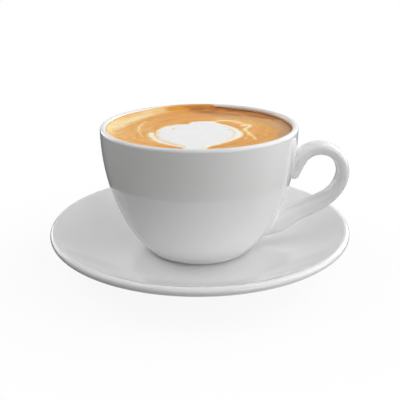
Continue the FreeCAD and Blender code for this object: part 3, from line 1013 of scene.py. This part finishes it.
class CAPPUCCINO_OT_coffee(Operator):
    """Fill the cup with coffee and lay the crema's pattern on it"""
    bl_idname = "cappuccino.coffee"
    bl_label = "Coffee and crema"

    def execute(self, context):
        scene = context.scene
        cup, drink = scene.cappuccino_cup, scene.cappuccino_drink
        shell = turned(drink_profile(cup, drink), DRINK_STEPS)
        # the top rises at the wall and sinks under the heart; its rim meets the wall
        top = [vert for vert in shell.verts if abs(vert.co.z - drink.level) < SAME]
        points = np.array([vert.co for vert in top])
        lift = lie_of(points, cup, drink)
        depth = heart_depth(points[:, :2] / MM)
        pocket = smooth(0.0, 2.0, depth) * (drink.foam_depth - 0.6 * MM)
        radius = np.hypot(points[:, 0], points[:, 1])
        rim = radius > radius.max() - SAME
        wall = wall_radius(cup, drink.level + lift) + 0.03 * MM
        for vert, up, down, at_rim, reach in zip(top, lift, pocket, rim, wall):
            vert.co.z += up - down
            if at_rim:
                vert.co.xy = vert.co.xy.normalized() * reach
        material = make_crema(scene.cappuccino_finish)
        made = add_piece(shell, "coffee_crema", material, ["coffee"])
        paint_pattern(made)
        return {"FINISHED"}


class CAPPUCCINO_OT_milk_foam(Operator):
    """Pour the heart of milk foam into its pocket"""
    bl_idname = "cappuccino.milk_foam"
    bl_label = "Milk foam heart"

    def execute(self, context):
        scene = context.scene
        cup, drink = scene.cappuccino_cup, scene.cappuccino_drink
        centre = np.array(STEM_CENTRE)
        outline = spline(HEART, closed=True)
        margin = drink.foam_edge / MM

        def place(turn, across):
            # from the stem's middle to the edge, down round it and back to the middle
            edge = outline(turn)
            out = edge - centre
            edge = edge + out / np.linalg.norm(out, axis=1)[:, None] * margin
            scale = np.interp(across, (0, 0.80, 0.90, 1.0), (0, 1, 0.93, 0))
            points = (centre + (edge - centre) * scale[:, None]) * MM
            radius = np.hypot(points[:, 0], points[:, 1])
            limit = wall_radius(cup, drink.level + 0.2 * MM) + 0.02 * MM
            points *= np.minimum(1, limit / np.maximum(radius, 1e-9))[:, None]
            inside = (1 - scale) * np.linalg.norm(edge - centre, axis=1)
            rise = drink.foam_rise * 1.25 * smooth(0.1, 2.6, inside) - 0.10 * MM
            low = -drink.foam_depth + 0.3 * MM
            height = rise + (low - rise) * np.clip((across - 0.80) * 10, 0, 1)
            lie = lie_of(points, cup, drink)
            return np.stack((points[:, 0], points[:, 1], drink.level + lie + height), axis=1)

        shell = bmesh.new()
        wrapped(shell, FOAM_COLUMNS, FOAM_ROWS, place)
        material = make_milk(scene.cappuccino_finish)
        made = add_piece(shell, "milk_heart", material, ["milk_foam"])
        paint_pattern(made)
        return {"FINISHED"}


class CAPPUCCINO_OT_bubbles(Operator):
    """Scatter small bubbles in the crema, more of them near the wall"""
    bl_idname = "cappuccino.bubbles"
    bl_label = "Bubbles"

    def execute(self, context):
        scene = context.scene
        cup, drink = scene.cappuccino_cup, scene.cappuccino_drink
        chance = random.Random(7)
        wall = wall_radius(cup, drink.level)
        spots = list(LARGE_BUBBLES)
        while len(spots) < drink.bubbles:
            # most of them lie near the wall, and most of them are small
            turn = chance.uniform(0, 2 * math.pi)
            radius = wall / MM * (1 - 0.45 * chance.random() ** 2.2) - 0.6
            size = 0.11 + 0.20 * chance.random() ** 3
            spot = (radius * math.cos(turn), radius * math.sin(turn), size)
            if heart_depth(np.array([spot[:2]]))[0] < -HEART_CLEAR:
                spots.append(spot)
        points = np.array([spot[:2] for spot in spots]) * MM
        lift = lie_of(points, cup, drink)
        shell = bmesh.new()
        for (x, y), up, spot in zip(points, lift, spots):
            dome = bmesh.ops.create_icosphere(shell, subdivisions=2, radius=spot[2] * MM)["verts"]
            bmesh.ops.scale(shell, vec=(1, 1, 0.75), verts=dome)
            bmesh.ops.translate(shell, vec=(x, y, drink.level + up + 0.05 * spot[2] * MM), verts=dome)
        made = add_piece(shell, "bubbles", make_bubble_film(scene.cappuccino_finish))
        paint_pattern(made)
        return {"FINISHED"}


# ---- stage ----

WHITE = (1, 1, 1, 1)
TABLE = (0.42, 0.42, 0.41, 1)           # what the floor throws back at the piece
SHADE = 0.09                            # how much of the lamps' light and shade the floor shows
SHADE_START = SAUCER_HIGH.x + 2 * MM    # from here on it fades into plain white
SHADE_END = 160 * MM
CARD_INSIDE = SAUCER_HIGH.x + 2.5 * MM
CARD_OUTSIDE = 900 * MM
CARD_LEVEL = 0.6 * MM
CARD_STEPS = 96
LAMP_AIM = Vector((0, 0, 30 * MM))

# Soft lamps: name, watts, side in metres and place in metres.
LAMPS = [
    ("top_right", 5.5, 0.9, (0.75, 0.1, 1.0)),
    ("top_left", 4.7, 0.9, (-0.75, 0.1, 1.0)),
    ("top_front", 1.9, 0.9, (0.0, -0.8, 1.0)),
    ("low_right", 4.1, 0.8, (1.1, -0.15, 0.35)),
    ("front_right", 4.1, 0.7, (0.75, -0.9, 0.4)),
    ("back_right", 6.2, 0.8, (0.9, 0.8, 0.4)),
    ("back_left", 4.2, 0.8, (-0.9, 0.8, 0.4)),
]


class CAPPUCCINO_OT_stage(Operator):
    """Lay the floor and the card, hang the lamps and set up the camera"""
    bl_idname = "cappuccino.stage"
    bl_label = "Stage"

    def execute(self, context):
        scene = context.scene
        stage = scene.cappuccino_stage
        self.floor(stage)
        self.table_card(stage.card)
        for name, power, size, place in LAMPS:
            self.lamp(name, power * stage.light, size, place)
        self.room(scene)
        self.camera(scene, stage)
        scene.view_settings.view_transform = "Standard"
        return {"FINISHED"}

    def seen(self, n):
        """1 for rays that see the background: straight, in a mirror or through glass."""
        path = n.add("ShaderNodeLightPath").outputs
        first = n.maths("MAXIMUM", path["Is Camera Ray"], path["Is Glossy Ray"])
        return n.maths("MAXIMUM", first, path["Is Transmission Ray"])

    def floor(self, stage):
        """A floor that looks white, with a soft shade at the saucer, and gives off little light."""
        material = bpy.data.materials.new("pale_floor")
        n = Nodes(material)
        table = n.add("ShaderNodeBsdfDiffuse", Color=TABLE).outputs[0]
        paper = n.add("ShaderNodeBsdfDiffuse", Color=WHITE).outputs[0]
        white = n.add("ShaderNodeEmission", Color=WHITE, Strength=1.0).outputs[0]
        away = n.vector("LENGTH", n.where())["Value"]
        shaded = n.spread(away, SHADE_START, SHADE_END, SHADE, 0.0)
        shown = n.add("ShaderNodeMixShader", i0=shaded, i1=white, i2=paper).outputs[0]
        n.output(n.add("ShaderNodeMixShader", i0=self.seen(n), i1=table, i2=shown).outputs[0])
        shell = bmesh.new()
        bmesh.ops.create_grid(shell, x_segments=1, y_segments=1, size=stage.floor)
        floor = new_object(shell, "floor", material)

    def table_card(self, grey):
        """A dark ring round the saucer that only mirrors see, for the table in the glaze."""
        material = bpy.data.materials.new("table_card")
        n = Nodes(material)
        n.output(n.add("ShaderNodeEmission", Color=(grey, grey, grey, 1), Strength=1.0).outputs[0])
        shell = bmesh.new()
        ends = [shell.verts.new((0, -radius, CARD_LEVEL)) for radius in (CARD_INSIDE, CARD_OUTSIDE)]
        edge = shell.edges.new(ends)
        bmesh.ops.spin(shell, geom=ends + [edge], cent=(0, 0, 0), axis=(0, 0, 1),
                       angle=2 * math.pi, steps=CARD_STEPS, use_merge=True)
        card = new_object(shell, "table_card", material)
        card.visible_camera = False
        card.visible_diffuse = False
        card.visible_shadow = False

    def lamp(self, name, power, size, place):
        """A square soft lamp that points at the cup."""
        data = bpy.data.lights.new(name, "AREA")
        data.energy = power
        data.size = size
        lamp = bpy.data.objects.new(name, data)
        lamp.location = place
        aim = LAMP_AIM - Vector(place)
        lamp.rotation_euler = aim.to_track_quat("-Z", "Y").to_euler()
        bpy.context.scene.collection.objects.link(lamp)

    def room(self, scene):
        """A room that looks white and gives off no light of its own."""
        world = bpy.data.worlds.new("room")
        scene.world = world
        n = Nodes(world)
        room = n.add("ShaderNodeBackground", Color=WHITE, Strength=0.0).outputs[0]
        white = n.add("ShaderNodeBackground", Color=WHITE, Strength=1.0).outputs[0]
        both = n.add("ShaderNodeMixShader", i0=self.seen(n), i1=room, i2=white).outputs[0]
        n.output(both, "ShaderNodeOutputWorld")

    def camera(self, scene, stage):
        """The camera in front of the cup, tilted down at it."""
        data = bpy.data.cameras.new("camera")
        data.lens = stage.lens
        data.sensor_width = 36.0
        data.clip_start = 0.01
        data.clip_end = 20.0
        camera = bpy.data.objects.new("camera", data)
        camera.location = (stage.camera_side, -stage.camera_back, stage.camera_height)
        tilt = Matrix.Rotation(math.pi / 2 - stage.camera_down, 3, "X")
        camera.rotation_euler = (tilt @ Matrix.Rotation(-stage.camera_roll, 3, "Z")).to_euler()
        scene.collection.objects.link(camera)
        scene.camera = camera


class CAPPUCCINO_PT_panel(Panel):
    """Sizes, colours and the steps that build the cappuccino"""
    bl_idname = "CAPPUCCINO_PT_panel"
    bl_label = "Cappuccino"
    bl_space_type = "VIEW_3D"
    bl_region_type = "UI"
    bl_category = "Cappuccino"

    def draw(self, context):
        for step in OPERATORS:
            self.layout.operator(step.bl_idname)
        for name, group in GROUPS:
            box = self.layout.box()
            box.label(text=group.__name__)
            for key in group.__annotations__:
                box.prop(getattr(context.scene, name), key)


GROUPS = [
    ("cappuccino_saucer", SaucerSizes),
    ("cappuccino_cup", CupSizes),
    ("cappuccino_handle", HandleSizes),
    ("cappuccino_drink", DrinkSizes),
    ("cappuccino_finish", Finishes),
    ("cappuccino_stage", StageSizes),
]
OPERATORS = [
    CAPPUCCINO_OT_saucer,
    CAPPUCCINO_OT_cup,
    CAPPUCCINO_OT_coffee,
    CAPPUCCINO_OT_milk_foam,
    CAPPUCCINO_OT_bubbles,
    CAPPUCCINO_OT_stage,
]


def register():
    for name, group in GROUPS:
        bpy.utils.register_class(group)
        setattr(bpy.types.Scene, name, PointerProperty(type=group))
    for step in OPERATORS:
        bpy.utils.register_class(step)
    bpy.utils.register_class(CAPPUCCINO_PT_panel)


def unregister():
    bpy.utils.unregister_class(CAPPUCCINO_PT_panel)
    for step in reversed(OPERATORS):
        bpy.utils.unregister_class(step)
    for name, group in reversed(GROUPS):
        delattr(bpy.types.Scene, name)
        bpy.utils.unregister_class(group)


def main():
    register()
    bpy.ops.cappuccino.saucer()
    bpy.ops.cappuccino.cup()
    bpy.ops.cappuccino.coffee()
    bpy.ops.cappuccino.milk_foam()
    bpy.ops.cappuccino.bubbles()
    bpy.ops.cappuccino.stage()


if __name__ == "__main__":
    main()
